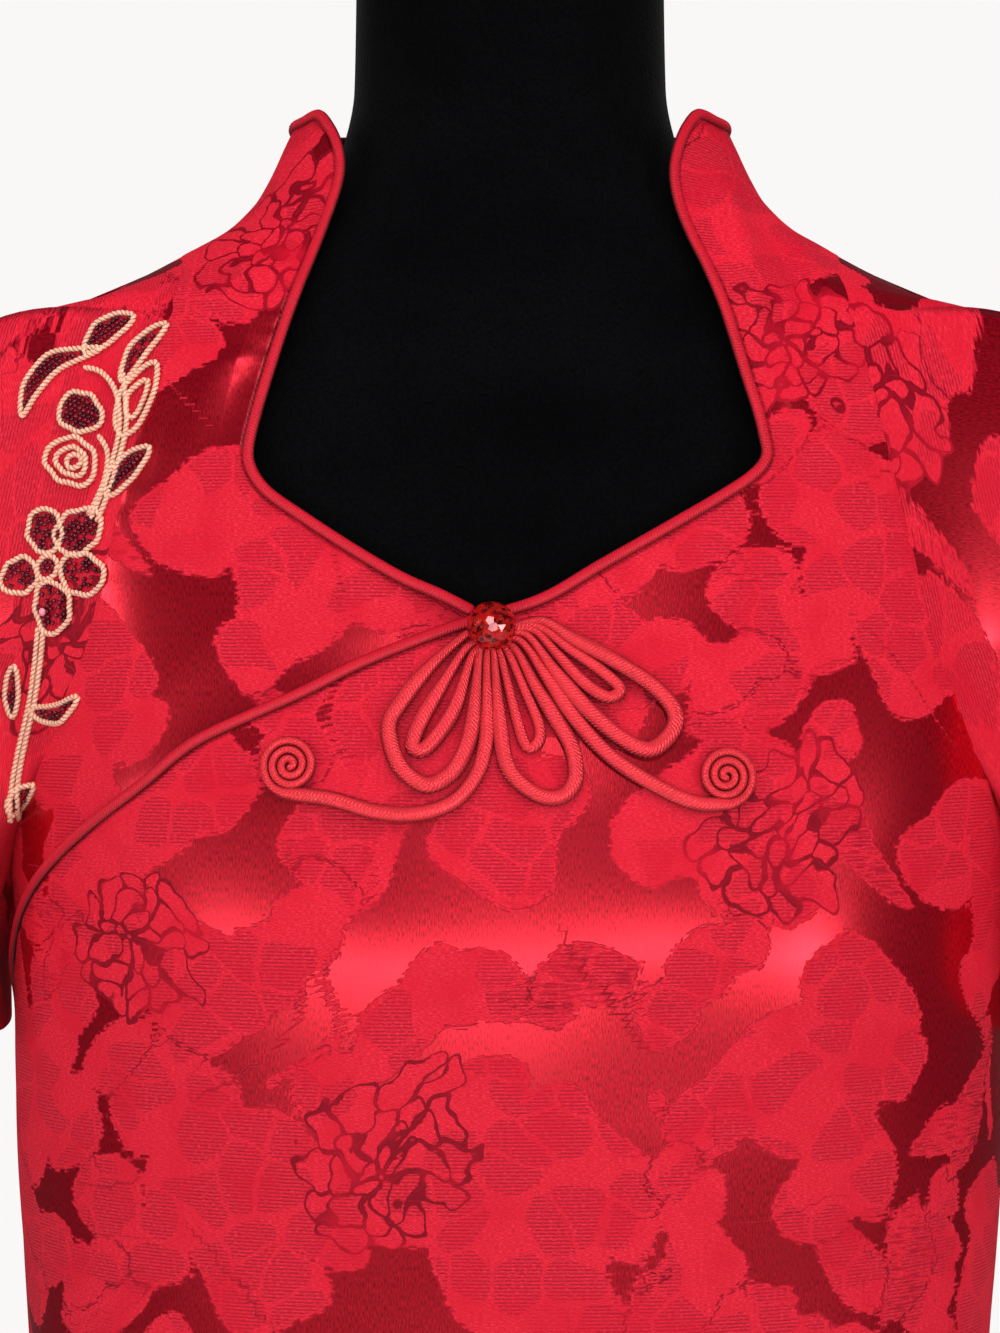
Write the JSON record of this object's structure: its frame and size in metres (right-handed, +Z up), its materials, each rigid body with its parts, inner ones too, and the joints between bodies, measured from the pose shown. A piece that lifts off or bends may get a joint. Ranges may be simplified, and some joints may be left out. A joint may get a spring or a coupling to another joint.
{
  "type": "cheongsam dress on a limbless dress form and stand",
  "caption": "Red silk jacquard cheongsam with wing collar, cap sleeves, piped placket and frog fastening, on a black limbless dress form with a round stand.",
  "frame": {"origin": "on the floor, at the middle of the round base", "axes": "+Z up, -Y towards the front of the dress, +X towards the wearer's left"},
  "size_m": [0.4324, 0.34, 1.5013],
  "materials": {
    "red_silk_jacquard": "satin ground with a matte woven figure",
    "red_satin_rouleau": "ribbed satin tube",
    "red_crystal_bead": "faceted, polished",
    "black_velvet": "short black pile",
    "neck_cap_wood": "clear lacquer",
    "black_stand_metal": "black powder coat"
  },
  "bodies": {
    "root": {"front_panel": "red_silk_jacquard", "front_underlap": "red_silk_jacquard", "back_panel": "red_silk_jacquard", "sleeve_left": "red_silk_jacquard", "sleeve_right": "red_silk_jacquard", "piping_front": "red_silk_jacquard", "piping_underlap": "red_silk_jacquard", "piping_collar_back": "red_silk_jacquard", "frog_loop_left_outer": "red_satin_rouleau", "frog_loop_left_inner": "red_satin_rouleau", "frog_loop_middle_outer": "red_satin_rouleau", "frog_loop_middle_inner": "red_satin_rouleau", "frog_loop_right_outer": "red_satin_rouleau", "frog_loop_right_inner": "red_satin_rouleau", "frog_tail_left": "red_satin_rouleau", "frog_tail_right": "red_satin_rouleau", "ball_button": "red_crystal_bead", "form_torso": "black_velvet", "form_neck_cap": "neck_cap_wood", "stand_flange": "black_stand_metal", "stand_pole": "black_stand_metal", "stand_base": "black_stand_metal"}
  },
  "joints": []
}
